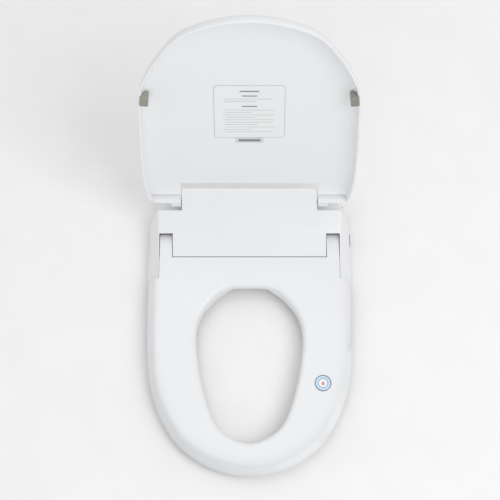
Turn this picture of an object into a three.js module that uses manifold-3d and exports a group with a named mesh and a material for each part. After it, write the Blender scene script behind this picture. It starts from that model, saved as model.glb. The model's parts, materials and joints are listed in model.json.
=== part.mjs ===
// Electric bidet seat, shown with the lid open and the seat ring down.
//
// Frame: millimetres, +Z up, the user sits facing -Y. The origin is the midpoint between the two
// bolts that hold the seat to the bowl, on the underside of the mounting plate (the bowl's rim).
import * as THREE from 'three';
import Module from 'manifold-3d';
import { mergeVertices } from 'three/addons/utils/BufferGeometryUtils.js';

const wasm = await Module();
wasm.setup();

// ---------------------------------------------------------------- driving dimensions
const GAP = 0.35;                 // air between neighbouring pieces
const WALL = 2.8;                 // moulded wall of the housing
const SPLIT_Z = 34;               // height where the housing cover meets the base tray
const TRAY_Z = 4.3;               // underside of the base tray

const SEAT_TOP = 50;              // height of the seating face
const SEAT_BOTTOM = 16;           // underside of the seat ring
const SEAT_WALL = 3.6;            // moulded wall of the seat ring
const SEAT_REAR_Y = -64.3;        // rear edge of the ring
const SEAT_REAR_HALF = 168.4;     // half-width of the ring between the side wings
const WING_FRONT_Y = -105;        // front end of the base's side wings
const SEAT_AXIS = { y: -38, z: 38 };
const SEAT_NOSE_R = 28.9;         // hollow behind the ring, centred on its hinge
const LUG_INNER = 144.6;
const LUG_OUTER = 168;
const SEAT_PIN_R = 5;

const FRONT_Y = -62.8;            // front wall of the housing
const REAR_Y = 54;                // rear wall of the housing
const SHOULDER_Y = 17.5;          // rear edge of the housing's shoulders
const NECK_HALF = 143.4;          // half-width of the housing between the seat's hinge lugs
const BACK_HALF = 126;            // half-width of the raised back between the lid's ears
const DECK_Z = 58;                // low deck under the lid's ears
const LUG_POCKET_R = 29.5;

const LID_AXIS = { y: 35, z: 80 };
const LID_LEAN = 13.5;            // degrees behind upright when open
const LID_TILT = 2;               // degrees below level when closed
const LID_RIM = -11;              // rim plane, measured from the hinge axis along the lid's depth
const LID_BACK = 13;              // outer face of the lid, measured the same way
const LID_WALL = 4.2;
const LID_PIN_R = 4;
const EAR_END = 11.5;             // distance of the ear's lower end from the axis
const EAR_SWING_R = 17;           // reach of the ear's end wall round the axis
const NOTCH_END = 48;             // distance of the notch's far edge from the axis
const NOTCH_HALF = 127.5;

const BOLT_SPACING = 140;         // bowl's bolt holes, centre to centre
const BOLT_R = 3;
const BOLT_LENGTH = 66;

const NOZZLE_TILT = 10;           // degrees down towards the front
const NOZZLE_R = 6;
const NOZZLE_X = 13;
const NOZZLE_LENGTH = 108;
const NOZZLE_ORIGIN = { y: -64.5, z: 22 };   // tip of the parked nozzles
const TOOTH_PITCH = Math.PI;      // module 1
const PINION_TEETH = 12;
const PINION_R = PINION_TEETH / 2;
const PINION_BACK = 18.85;        // pinion's distance behind the parked tip: six tooth pitches
const RACK_PITCH_Z = 8.4;         // rack's pitch line above the nozzle's axis
const BACKLASH = 0.3;

const BLOWER = { x: 98, y: 10, r: 27, low: 15, high: 39 };
const FLAP = { x0: 44, x1: 80, top: 27.5, bottom: 8.5 };
const INLET = { x: -150, z: 27 };
const GLAND = { x: 140, z: 27 };

const PLASTIC = { color: 0xe9eaec, roughness: 0.25, metalness: 0 };
const GREY_PLASTIC = { color: 0x8f9396, roughness: 0.5, metalness: 0 };
const DARK_PLASTIC = { color: 0x3b3d40, roughness: 0.55, metalness: 0 };
const CLEAR_GREY = { color: 0xc9cdd0, roughness: 0.3, metalness: 0 };
const RUBBER = { color: 0x9b9f92, roughness: 0.8, metalness: 0 };
const STEEL = { color: 0xb9bcc0, roughness: 0.35, metalness: 1 };
const BRASS = { color: 0xb99a5a, roughness: 0.35, metalness: 1 };
const FOIL = { color: 0xc9ccd0, roughness: 0.4, metalness: 0.9 };
const BOARD = { color: 0x2f6b46, roughness: 0.6, metalness: 0 };
const PAPER = { color: 0xececec, roughness: 0.6, metalness: 0 };
const BLUE = { color: 0x5e8aa0, roughness: 0.5, metalness: 0 };

const radians = THREE.MathUtils.degToRad;
const SIDES = [{ name: 'left', sign: -1 }, { name: 'right', sign: 1 }];

// Distances from the centre line, as [low, high] on the side with the given sign.
const span = (sign, inner, outer) => (sign > 0 ? [inner, outer] : [-outer, -inner]);

// ---------------------------------------------------------------- solids from three.js geometry
function toSolid(geometry) {
  const bare = geometry.clone();
  bare.deleteAttribute('normal');
  bare.deleteAttribute('uv');
  const merged = mergeVertices(bare, 1e-4);
  return new wasm.Manifold(new wasm.Mesh({
    numProp: 3,
    vertProperties: Float32Array.from(merged.attributes.position.array),
    triVerts: Uint32Array.from(merged.index.array),
  }));
}

function toGeometry(solid) {
  const mesh = solid.getMesh();
  const geometry = new THREE.BufferGeometry();
  geometry.setAttribute('position', new THREE.BufferAttribute(Float32Array.from(mesh.vertProperties), 3));
  geometry.setIndex(new THREE.BufferAttribute(Uint32Array.from(mesh.triVerts), 1));
  geometry.computeVertexNormals();
  return geometry;
}

function box(x0, x1, y0, y1, z0, z1) {
  const geometry = new THREE.BoxGeometry(x1 - x0, y1 - y0, z1 - z0);
  geometry.translate((x0 + x1) / 2, (y0 + y1) / 2, (z0 + z1) / 2);
  return toSolid(geometry);
}

// One box on the right-hand side and its mirror image on the left.
function boxPair(x0, x1, y0, y1, z0, z1) {
  return box(x0, x1, y0, y1, z0, z1).add(box(-x1, -x0, y0, y1, z0, z1));
}

function rodX(x0, x1, y, z, radius, sides = 20) {
  const geometry = new THREE.CylinderGeometry(radius, radius, x1 - x0, sides);
  geometry.rotateZ(-Math.PI / 2);
  geometry.translate((x0 + x1) / 2, y, z);
  return toSolid(geometry);
}

function rodY(x, y0, y1, z, radius, sides = 20) {
  const geometry = new THREE.CylinderGeometry(radius, radius, y1 - y0, sides);
  geometry.translate(x, (y0 + y1) / 2, z);
  return toSolid(geometry);
}

function rodZ(x, y, z0, z1, radius, sides = 20, topRadius = radius) {
  const geometry = new THREE.CylinderGeometry(topRadius, radius, z1 - z0, sides);
  geometry.rotateX(Math.PI / 2);
  geometry.translate(x, y, (z0 + z1) / 2);
  return toSolid(geometry);
}

// Extrudes a profile of [y, z] points from x0 to x1.
function slabX(profile, x0, x1) {
  const shape = new THREE.Shape(profile.map(([y, z]) => new THREE.Vector2(y, z)));
  const geometry = new THREE.ExtrudeGeometry(shape, { depth: x1 - x0, bevelEnabled: false });
  const turn = new THREE.Matrix4().makeBasis(
    new THREE.Vector3(0, 1, 0), new THREE.Vector3(0, 0, 1), new THREE.Vector3(1, 0, 0));
  geometry.applyMatrix4(turn);
  geometry.translate(x0, 0, 0);
  return toSolid(geometry);
}

// Joins rings of equal length, each a list of Vector3, into one capped solid.
function loft(rings) {
  const count = rings[0].length;
  const positions = rings.flat().flatMap((p) => [p.x, p.y, p.z]);
  const faces = [];
  for (let ring = 0; ring < rings.length - 1; ring += 1) {
    for (let i = 0; i < count; i += 1) {
      const a = ring * count + i;
      const b = ring * count + (i + 1) % count;
      faces.push([a, b, b + count], [a, b + count, a + count]);
    }
  }
  // the rings are symmetric about the centre line, so a ladder of triangles closes each end
  const last = (rings.length - 1) * count;
  let [right, left] = [0, count - 1];
  while (right + 1 < left) {
    faces.push([right, left, right + 1], [right + last, right + 1 + last, left + last]);
    right += 1;
    if (right + 1 < left) {
      faces.push([right, left, left - 1], [right + last, left - 1 + last, left + last]);
      left -= 1;
    }
  }
  const corner = (i) => new THREE.Vector3().fromArray(positions, 3 * i);
  const volume = faces.reduce((sum, [a, b, c]) => sum + corner(a).dot(corner(b).cross(corner(c))), 0);
  const geometry = new THREE.BufferGeometry();
  geometry.setAttribute('position', new THREE.Float32BufferAttribute(positions, 3));
  geometry.setIndex(faces.flatMap(([a, b, c]) => (volume > 0 ? [a, b, c] : [a, c, b])));
  return toSolid(geometry);
}

// ---------------------------------------------------------------- outlines
// A half outline runs from the rear to the nose as [half-width, y]; the result is the whole
// outline, open at the rear, where a straight edge closes it.
function mirroredOutline(half, samples) {
  const right = half.map(([x, y]) => new THREE.Vector3(x, y, 0));
  const left = half.slice(0, -1).reverse().map(([x, y]) => new THREE.Vector3(-x, y, 0));
  const curve = new THREE.CatmullRomCurve3([...right, ...left], false, 'centripetal');
  return curve.getSpacedPoints(samples).map((p) => new THREE.Vector2(p.x, p.y));
}

// A half outline that starts and ends on the centre line, closed into one smooth loop.
function closedOutline(half, samples) {
  const right = half.map(([x, y]) => new THREE.Vector3(x, y, 0));
  const left = half.slice(1, -1).reverse().map(([x, y]) => new THREE.Vector3(-x, y, 0));
  const curve = new THREE.CatmullRomCurve3([...right, ...left], true, 'centripetal');
  return curve.getSpacedPoints(samples).slice(0, -1).map((p) => new THREE.Vector2(p.x, p.y));
}

// Moves a clockwise outline inwards by a distance, or outwards when it is negative.
function inset(outline, distance) {
  return outline.map((point, i) => {
    const before = outline[(i + outline.length - 1) % outline.length];
    const after = outline[(i + 1) % outline.length];
    const along = after.clone().sub(before).normalize();
    return new THREE.Vector2(point.x + along.y * distance, point.y - along.x * distance);
  });
}

const blend = (from, to, share) => from.map((p, i) => p.clone().lerp(to[i], share));
const atHeight = (outline, z) => outline.map((p) => new THREE.Vector3(p.x, p.y, z));

function mesh(name, shape, finish) {
  const geometry = shape.isBufferGeometry ? shape : toGeometry(shape);
  const made = new THREE.Mesh(geometry, new THREE.MeshStandardMaterial(finish));
  made.name = name;
  return made;
}

const bidetSeat = new THREE.Group();
const add = (name, shape, finish) => bidetSeat.add(mesh(name, shape, finish));

// ---------------------------------------------------------------- mounting hardware
const PLATE = { halfX: 108, halfY: 30, low: 5, top: 8, ledge: 8 };

function mountingPlate() {
  const { halfX, halfY } = PLATE;
  const core = halfX - PLATE.ledge;
  let plate = box(-core, core, -halfY, halfY, 0, PLATE.top);
  plate = plate.add(box(-halfX, halfX, -halfY, halfY, PLATE.low, PLATE.top));
  for (const { sign } of SIDES) {
    const x = sign * BOLT_SPACING / 2;
    plate = plate.subtract(box(x - 16, x + 16, -21, 21, 4, PLATE.top + 1));
    plate = plate.subtract(box(x - 4, x + 4, -14, 14, -1, 5));
  }
  return plate.subtract(box(-22, 22, -18, 18, 3, PLATE.top + 1));
}

add('mounting_plate', mountingPlate(), GREY_PLASTIC);
for (const { name, sign } of SIDES) {
  const x = sign * BOLT_SPACING / 2;
  const bore = (low, high) => rodZ(x, 0, low, high, BOLT_R + GAP, 16);
  const head = rodZ(x, 0, 4 + GAP, 7.4, 8.5, 20);
  const shank = rodZ(x, 0, 7 - BOLT_LENGTH, 5, BOLT_R, 16);
  add(`mounting_bolt_${name}`, head.add(shank), STEEL);
  add(`cone_bush_${name}`, rodZ(x, 0, -34, -16, 13, 20, 8).subtract(bore(-40, 0)), RUBBER);
  const wings = box(x - 19, x + 19, -2, 2, -50, -37);
  add(`wing_nut_${name}`, rodZ(x, 0, -46, -34 - GAP, 9, 20).add(wings).subtract(bore(-60, 0)), PLASTIC);
}

// ---------------------------------------------------------------- housing envelope
// Height of the housing's upper face: level beside the ring, then a hollow sweep up to the back.
function coverHeight(y) {
  const run = Math.max(y + 64, 0);
  return SEAT_TOP + 0.2 * run + 0.00226 * run * run;
}

// Half-width at the base: a soft swelling at the wings' front end and a narrower rear.
function baseHalf(y) {
  const swelling = 1.6 * Math.exp(-(((y + 80) / 22) ** 2));
  const waist = y > 5 ? 13 * THREE.MathUtils.smoothstep(y, 5, 50) : 0;
  return 190 + swelling - waist;
}

function housingSection(y, top, half, topHalf, wall) {
  const low = TRAY_Z + wall;
  const high = top - wall;
  const side = half - wall;
  const edge = topHalf - wall;
  const right = [
    [side - 2, low], [side, low + 3], [side, 20], [side - 0.22 * (side - edge), 20 + 0.45 * (high - 24)],
    [edge + 3.5, high - 4], [edge + 0.8, high - 1.2], [edge - 2.5, high],
  ];
  const ring = [...right, ...right.map(([x, z]) => [-x, z]).reverse()];
  return ring.map(([x, z]) => new THREE.Vector3(x, y, z));
}

function housingEnvelope(wall) {
  const shoulderStations = [WING_FRONT_Y + wall, -94, -80, -64, -50, -36, -22, -8, 5, SHOULDER_Y - wall];
  const shoulders = loft(shoulderStations.map((y) => (
    housingSection(y, coverHeight(y), baseHalf(y), 170, wall))));
  const deckStations = [SHOULDER_Y - wall - 1, 30, 42, REAR_Y - wall];
  const deck = loft(deckStations.map((y) => housingSection(y, DECK_Z, baseHalf(y), baseHalf(y) - 9, wall)));
  const rise = [-10, 2, 14, 26, 38, 50].map((y) => [y, coverHeight(y) - wall]);
  const back = [...rise, [REAR_Y - wall, coverHeight(REAR_Y) - wall - 3], [REAR_Y - wall, 40], [-10, 40]];
  return shoulders.add(deck).add(slabX(back, -BACK_HALF + wall, BACK_HALF - wall));
}

// Space that the seat ring and its hinge lugs need, grown by a wall's thickness.
function seatSpace(grow) {
  const half = LUG_OUTER + 1 + grow;
  const reach = LUG_POCKET_R + grow;
  let space = box(-half, half, -120, FRONT_Y + grow, -10, 130);
  for (const { sign } of SIDES) {
    const lugX = span(sign, NECK_HALF - grow, half);
    space = space.add(rodX(...lugX, SEAT_AXIS.y, SEAT_AXIS.z, reach, 40));
    space = space.add(box(...lugX, FRONT_Y - 1, SEAT_AXIS.y, SEAT_AXIS.z - reach, 130));
  }
  return space;
}

const housingShell = housingEnvelope(0).subtract(seatSpace(0))
  .subtract(housingEnvelope(WALL).subtract(seatSpace(WALL)));

// Holes that pass through the cover, the tray or both.
const NOZZLE_WINDOW = { half: 31, low: 11, high: 42 };
function housingHoles() {
  let holes = box(-NOZZLE_WINDOW.half, NOZZLE_WINDOW.half, FRONT_Y - 1, FRONT_Y + WALL + 1,
    NOZZLE_WINDOW.low, NOZZLE_WINDOW.high);
  holes = holes.add(box(FLAP.x0, FLAP.x1, FRONT_Y - 1, FRONT_Y + WALL + 1, FLAP.bottom, FLAP.top + 2));
  holes = holes.add(rodY(INLET.x, REAR_Y - 6, REAR_Y + 2, INLET.z, 11));
  holes = holes.add(rodY(GLAND.x, REAR_Y - 6, REAR_Y + 2, GLAND.z, 7));
  for (const { sign } of SIDES) {
    holes = holes.add(rodX(...span(sign, 136, 148), SEAT_AXIS.y, SEAT_AXIS.z, SEAT_PIN_R + GAP));
    holes = holes.add(rodX(...span(sign, 118, 130), LID_AXIS.y, LID_AXIS.z, LID_PIN_R + GAP));
  }
  return holes;
}

const CARTRIDGE = { x0: 146, y0: 26, y1: 46, z0: 12, z1: 31 };
const BUTTON = { y0: -30, y1: -8, z0: 11, z1: 19 };

const SCREW_SPOTS = [[-158, 4], [158, 4], [-120, 46], [120, 46]];
const POST_R = 4.5;

function housingCover() {
  const above = box(-200, 200, -120, 80, SPLIT_Z, 130);
  let cover = housingShell.intersect(above);
  for (const [x, y] of SCREW_SPOTS) {
    const roof = Math.abs(x) > BACK_HALF ? coverHeight(y) : coverHeight(y) - 4;
    cover = cover.add(rodZ(x, y, SPLIT_Z, roof - 1.5, POST_R, 14));
    cover = cover.subtract(rodZ(x, y, SPLIT_Z - 1, SPLIT_Z + 14, 1.9, 10));
  }
  return cover.subtract(housingHoles());
}

function baseTray() {
  const below = box(-200, 200, -120, 80, 0, SPLIT_Z - GAP);
  let tray = housingShell.intersect(below);
  // a raised channel over the mounting plate, open at the rear, with rails that hook under its ledges
  const channelX = PLATE.halfX + 0.8;
  const channelZ = PLATE.top + 1.4;
  const railX = PLATE.halfX - PLATE.ledge + 0.8;
  tray = tray.add(box(-channelX - WALL, channelX + WALL, -34, REAR_Y, TRAY_Z, channelZ + WALL)
    .intersect(housingEnvelope(0)));
  tray = tray.subtract(box(-channelX, channelX, -31, REAR_Y + 2, 0, channelZ));
  tray = tray.add(boxPair(channelX, channelX + WALL, -34, REAR_Y, 1.2, TRAY_Z + 1));
  tray = tray.add(boxPair(railX, channelX + 1, -34, REAR_Y, 1.2, PLATE.low - 0.5));
  for (const [x, y] of SCREW_SPOTS) {
    tray = tray.add(rodZ(x, y, TRAY_Z + 1, SPLIT_Z - GAP, POST_R, 14));
    tray = tray.subtract(rodZ(x, y, TRAY_Z - 1, SPLIT_Z + 1, 1.9, 10));
    tray = tray.subtract(rodZ(x, y, 0, 10, 3.3, 14));
  }
  tray = tray.subtract(box(CARTRIDGE.x0 - 1, 200, CARTRIDGE.y0 - 0.5, CARTRIDGE.y1 + 0.5,
    CARTRIDGE.z0 - 0.5, CARTRIDGE.z1 + 0.5));
  tray = tray.subtract(box(180, 200, BUTTON.y0 - 0.4, BUTTON.y1 + 0.4, BUTTON.z0 - 0.4, BUTTON.z1 + 0.4));
  return tray.subtract(housingHoles());
}

add('housing_cover', housingCover(), PLASTIC);
add('base_tray', baseTray(), PLASTIC);

SCREW_SPOTS.forEach(([x, y], i) => {
  const head = rodZ(x, y, 7.4, 9.6, 3, 14);
  const shank = rodZ(x, y, 9.4, SPLIT_Z + 12, 1.5, 10);
  add(`cover_screw_${i + 1}`, head.add(shank), STEEL);
});

for (const { name, sign } of SIDES) {
  const x = sign * 150;
  add(`base_pad_${name}`, box(x - 16, x + 16, 22, 34, 0, TRAY_Z - GAP), RUBBER);
}

// ---------------------------------------------------------------- seat ring
const RING_BASE = mirroredOutline([
  [190, -30], [190.5, -132], [188.5, -249], [182, -306], [170, -344], [153, -381],
  [126, -418], [72, -454], [0, -470],
], 54);
const RING_FACE = mirroredOutline([
  [175.5, -30], [175.5, -148], [174, -206], [170, -275], [153, -358], [117, -408],
  [64.5, -438], [0, -449],
], 54);
const OPENING = closedOutline([
  [0, -120], [31, -121.5], [49.6, -128], [72.4, -149], [90, -175], [98.5, -212], [96, -255],
  [84, -318], [63, -376], [38.7, -401], [0, -414.5],
], 40);

// How far the side has leaned in from the base outline to the face outline at each height.
const RING_LEAN = [[SEAT_BOTTOM, 0.04], [20, 0], [33, 0.3], [43, 0.66], [48.4, 0.94], [SEAT_TOP, 1.1]];

function ringOuter(wall, low, high) {
  const rings = RING_LEAN.map(([z, share]) => (
    atHeight(inset(blend(RING_BASE, RING_FACE, share), wall), THREE.MathUtils.mapLinear(
      z, SEAT_BOTTOM, SEAT_TOP, low, high))));
  return loft(rings);
}

function ringOpening(wall, low, high) {
  const flare = [[low, 3], [low + 8, 1], [high - 5, 0], [high - 1.6, 0.8], [high, 2.6]];
  return loft(flare.map(([z, out]) => atHeight(inset(OPENING, -(out + wall)), z)));
}

// Room between the ring's walls: open underneath, closed round the solid rear land.
function ringRoom(extra) {
  const wall = SEAT_WALL + extra;
  const solidRear = box(-96 - extra, 96 + extra, -140 - extra, 0, 0, 60)
    .add(box(-200, 200, -74 - extra, 0, 0, 60))
    .add(boxPair(SEAT_REAR_HALF - wall, 210, WING_FRONT_Y - wall - 0.5, 0, 0, 60));
  return ringOuter(wall, SEAT_BOTTOM - 2, SEAT_TOP - SEAT_WALL)
    .subtract(ringOpening(wall, SEAT_BOTTOM - 3, SEAT_TOP + 1)).subtract(solidRear);
}

const LUG_PROFILE = [
  [-72, 20], [-72, 49.7], [-58, 50.2], [-36, 51], [-25, 50], [-18, 46.5], [-14.6, 41], [-14.6, 35],
  [-18, 28.5], [-26, 24], [-38, 21.5], [-52, 20],
];

function seatTop() {
  let seat = ringOuter(0, SEAT_BOTTOM, SEAT_TOP).subtract(ringOpening(0, SEAT_BOTTOM - 1, SEAT_TOP + 0.6));
  seat = seat.subtract(box(-200, 200, SEAT_REAR_Y, 20, 0, 60));
  seat = seat.subtract(boxPair(SEAT_REAR_HALF, 210, WING_FRONT_Y - 0.5, 20, 0, 60));
  seat = seat.subtract(ringRoom(0));
  for (const { sign } of SIDES) {
    seat = seat.add(slabX(LUG_PROFILE, ...span(sign, LUG_INNER, LUG_OUTER)));
    const bore = span(sign, LUG_INNER - 1, LUG_OUTER + 1);
    seat = seat.subtract(rodX(...bore, SEAT_AXIS.y, SEAT_AXIS.z, SEAT_PIN_R + GAP));
  }
  seat = seat.subtract(rodX(-LUG_INNER + 0.1, LUG_INNER - 0.1, SEAT_AXIS.y, SEAT_AXIS.z, SEAT_NOSE_R, 56));
  // recess under the rear land where the nozzles and the dryer flap come out
  const nozzleWay = [[SEAT_REAR_Y - 2, 10], [SEAT_REAR_Y - 2, 35], [-60, 35], [-60, 10]];
  seat = seat.subtract(box(-36, 36, -140, -60, 0, 32)).subtract(slabX(nozzleWay, -36, 36));
  return seat.subtract(box(-90, 90, -92, -60, 0, 31));
}

add('seat_top', seatTop(), PLASTIC);
const plateSlab = box(-200, 200, -480, 0, SEAT_BOTTOM + 0.6, SEAT_BOTTOM + 3.2);
const heaterSlab = box(-200, 200, -480, 0, SEAT_TOP - SEAT_WALL - 2, SEAT_TOP - SEAT_WALL - 0.8);
add('seat_bottom', ringRoom(GAP).intersect(plateSlab), PLASTIC);
add('seat_heater', ringRoom(3.5).intersect(heaterSlab), FOIL);

const FOOT_SPOTS = [[-148, -190], [148, -190], [-105, -392], [105, -392]];
FOOT_SPOTS.forEach(([x, y], i) => {
  add(`seat_foot_${i + 1}`, rodZ(x, y, 0, SEAT_BOTTOM + 0.6 - GAP, 9, 20, 11), RUBBER);
});

add('seat_sticker', rodZ(133, -306, SEAT_TOP + GAP, SEAT_TOP + 2 * GAP, 15, 40), BLUE);

for (const { name, sign } of SIDES) {
  const pin = rodX(...span(sign, 122, 166), SEAT_AXIS.y, SEAT_AXIS.z, SEAT_PIN_R);
  const damper = rodX(...span(sign, 93, 121.6), SEAT_AXIS.y, SEAT_AXIS.z, 8);
  add(`seat_hinge_pin_${name}`, pin, STEEL);
  add(`seat_damper_${name}`, damper, DARK_PLASTIC);
}

// ---------------------------------------------------------------- lid, modelled closed and level
const lid = new THREE.Group();
lid.position.set(0, LID_AXIS.y, LID_AXIS.z);
lid.rotation.x = -radians(90 + LID_LEAN);
bidetSeat.add(lid);

const LID_OUTLINE = mirroredOutline([
  [170, -EAR_END], [184, -17], [189, -36], [192.8, -82], [192.5, -171], [190.2, -241], [187.9, -294],
  [182.8, -334], [170.6, -368], [152.8, -405], [115.8, -458], [62, -487], [0, -498],
], 52);

function lidBody(wall) {
  const depth = LID_BACK - LID_RIM;
  const rings = [[0, 0], [0.45, 1.5], [0.75, 4.2], [0.93, 9], [1, 16]];
  const low = wall > 0 ? LID_RIM - 5 : LID_RIM;
  return loft(rings.map(([share, lean]) => (
    atHeight(inset(LID_OUTLINE, lean * 0.9 + wall), low + share * (depth - wall + LID_RIM - low)))));
}

function lidShell() {
  const notch = box(-NOTCH_HALF, NOTCH_HALF, -NOTCH_END, 30, -40, 40);
  const notchWalls = box(-NOTCH_HALF - 3.5, NOTCH_HALF + 3.5, -NOTCH_END - 3.5, 30, 5, 40);
  let shell = lidBody(0).subtract(lidBody(LID_WALL).subtract(notchWalls)).subtract(notch);
  // the ears' inner walls are trimmed to the housing's sweep, which they cover when closed
  const trim = [-75, -50, -30, -10, 5, 18].map((y) => [y - LID_AXIS.y, coverHeight(y) + 1.8 - LID_AXIS.z
    - Math.tan(radians(LID_TILT)) * (y - LID_AXIS.y)]);
  shell = shell.subtract(slabX([...trim, [18 - LID_AXIS.y, -40], [-75 - LID_AXIS.y, -40]], -181, 181));
  // the ears' end walls stay within the circle that clears the shoulders as the lid swings
  const swing = rodX(-182, 182, 0, 0, EAR_SWING_R, 48);
  shell = shell.subtract(box(-181, 181, -24, -5, -20, -4).subtract(swing));
  for (const { sign } of SIDES) {
    const knuckle = span(sign, NOTCH_HALF + 0.3, 146);
    shell = shell.add(rodX(...knuckle, 0, 0, 10, 24)).add(box(...knuckle, -16, 0, 0.5, LID_BACK - 0.5));
    shell = shell.subtract(rodX(...span(sign, NOTCH_HALF - 0.7, 144), 0, 0, LID_PIN_R + GAP));
  }
  return shell;
}

lid.add(mesh('lid_shell', lidShell(), PLASTIC));
for (const { name, sign } of SIDES) {
  const block = box(...span(sign, 168.5, 184.5), -317, -294.5, LID_RIM - 3.5, LID_BACK);
  const bumper = block.intersect(lidBody(LID_WALL + GAP));
  lid.add(mesh(`lid_bumper_${name}`, bumper, RUBBER));
}
const PANEL_FACE = LID_BACK - LID_WALL - GAP;
lid.add(mesh('lid_label', box(-62, 62, -323.5, -182.5, PANEL_FACE - 0.3, PANEL_FACE), PAPER));
lid.add(mesh('serial_label', box(-24.5, 24.5, -182, -168.5, PANEL_FACE - 0.3, PANEL_FACE), PAPER));

for (const { name, sign } of SIDES) {
  const pin = rodX(...span(sign, 100, 142.5), LID_AXIS.y, LID_AXIS.z, LID_PIN_R);
  const damper = rodX(...span(sign, 66, 99.6), LID_AXIS.y, LID_AXIS.z, 5.4);
  add(`lid_hinge_pin_${name}`, pin, STEEL);
  add(`lid_damper_${name}`, damper, DARK_PLASTIC);
}

// ---------------------------------------------------------------- nozzle unit, in its own tilted group
const nozzles = new THREE.Group();
nozzles.position.set(0, NOZZLE_ORIGIN.y, NOZZLE_ORIGIN.z);
nozzles.rotation.x = radians(NOZZLE_TILT);
bidetSeat.add(nozzles);

const TOOTH = { addendum: 0.9, dedendum: 1.15, rootHalf: 0.95, tipHalf: 0.35 };

function rackProfile(y0, count) {
  const root = RACK_PITCH_Z - TOOTH.dedendum;
  const tip = RACK_PITCH_Z + TOOTH.addendum;
  const points = [[y0 - 1.4, 4], [y0 - 1.4, root]];
  for (let i = 0; i < count; i += 1) {
    const y = y0 + i * TOOTH_PITCH;
    points.push([y - TOOTH.rootHalf, root], [y - TOOTH.tipHalf, tip], [y + TOOTH.tipHalf, tip],
      [y + TOOTH.rootHalf, root]);
  }
  const end = y0 + (count - 1) * TOOTH_PITCH + 1.4;
  return [...points, [end, root], [end, 4]];
}

function nozzle(x, sprayHoles) {
  let body = rodY(x, 0, NOZZLE_LENGTH, 0, NOZZLE_R, 20);
  body = body.add(slabX(rackProfile(PINION_BACK - 4 * TOOTH_PITCH - TOOTH_PITCH / 2, 32), x - 2, x + 2));
  body = body.add(rodY(x, NOZZLE_LENGTH - 1, NOZZLE_LENGTH + 8, 0, 3, 12));
  for (let i = 0; i < sprayHoles; i += 1) {
    body = body.subtract(rodZ(x + (i - (sprayHoles - 1) / 2) * 2.6, 5, 2, 8, 0.8, 8));
  }
  return body.subtract(box(x - 7, x + 7, -1, 11, 5, 12).subtract(rodZ(x, 5, 0, 5.6, 3.4, 14)));
}

function pinion() {
  const root = PINION_R - TOOTH.dedendum;
  const tip = PINION_R + TOOTH.addendum;
  const tooth = [[-TOOTH.rootHalf, root], [-TOOTH.tipHalf, tip], [TOOTH.tipHalf, tip], [TOOTH.rootHalf, root]];
  const points = [];
  for (let i = 0; i < PINION_TEETH; i += 1) {
    const middle = (i / PINION_TEETH) * 2 * Math.PI;
    for (const [across, radius] of tooth) {
      const turn = middle + across / PINION_R;
      points.push([Math.cos(turn) * radius, Math.sin(turn) * radius]);
    }
  }
  return slabX(points, -2.5, 2.5).subtract(rodX(-4, 4, 0, 0, 1.5 + GAP, 12));
}

const PINION_Z = RACK_PITCH_Z + PINION_R + BACKLASH;

function nozzleBracket() {
  const low = -NOZZLE_R - 1;
  let bracket = box(-27, 27, 6, 112, low - 3, low);
  bracket = bracket.add(box(-22, 22, 8, 12.5, low - 1, 10));
  for (const { sign } of SIDES) {
    const x = sign * NOZZLE_X;
    bracket = bracket.subtract(rodY(x, 0, 14, 0, NOZZLE_R + GAP, 20));
    bracket = bracket.subtract(box(x - 2.6, x + 2.6, 0, 14, 3, RACK_PITCH_Z + 1.6));
    const cheek = span(sign, 19.5, 22);
    bracket = bracket.add(box(...cheek, 8, 112, low - 1, 2));
    bracket = bracket.add(box(...cheek, 8, 30, low - 1, PINION_Z + 3));
    bracket = bracket.subtract(rodX(cheek[0] - 1, cheek[1] + 1, PINION_BACK, PINION_Z, 1.5 + GAP, 12));
  }
  return bracket;
}

nozzles.add(mesh('nozzle_bracket', nozzleBracket(), DARK_PLASTIC));
nozzles.add(mesh('rear_wash_nozzle', nozzle(-NOZZLE_X, 2), CLEAR_GREY));
nozzles.add(mesh('front_wash_nozzle', nozzle(NOZZLE_X, 3), CLEAR_GREY));
const NOZZLE_NAMES = { left: 'rear_wash', right: 'front_wash' };
for (const { name, sign } of SIDES) {
  const gear = mesh(`${NOZZLE_NAMES[name]}_pinion`, pinion(), GREY_PLASTIC);
  gear.position.set(sign * NOZZLE_X, PINION_BACK, PINION_Z);
  nozzles.add(gear);
  const can = rodX(...span(sign, 22.4, 38), PINION_BACK, PINION_Z - 0.5, 8, 20);
  const shaft = rodX(...span(sign, 10, 23), PINION_BACK, PINION_Z, 1.5, 12);
  nozzles.add(mesh(`${NOZZLE_NAMES[name]}_motor`, can.add(shaft), STEEL));
}

function nozzleShield() {
  const half = NOZZLE_WINDOW.half - GAP;
  let shield = box(-half, half, FRONT_Y, FRONT_Y + WALL, NOZZLE_WINDOW.low + GAP, NOZZLE_WINDOW.high - GAP);
  for (const { sign } of SIDES) {
    const x = sign * NOZZLE_X;
    shield = shield.subtract(rodY(x, FRONT_Y - 2, FRONT_Y + 6, 22.2, NOZZLE_R + 1.4, 24));
    shield = shield.subtract(box(x - 3, x + 3, FRONT_Y - 2, FRONT_Y + 6, 26, 33.5));
  }
  return shield;
}
add('nozzle_shield', nozzleShield(), PLASTIC);

// ---------------------------------------------------------------- water heating
function heaterTank() {
  const tank = box(-116, -46, -14, 40, 14, 50).subtract(box(-113, -49, -11, 37, 17, 51));
  return tank.subtract(rodX(-120, -110, 20, 22, 4)).subtract(rodY(-60, -16, -10, 24, 4));
}
add('heater_tank', heaterTank(), DARK_PLASTIC);
add('heater_tank_lid', box(-117, -45, -15, 41, 50 + GAP, 53).subtract(rodZ(-80, 13, 48, 56, 3.4))
  .subtract(rodZ(-95, 13, 48, 56, 3.4)), DARK_PLASTIC);

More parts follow.
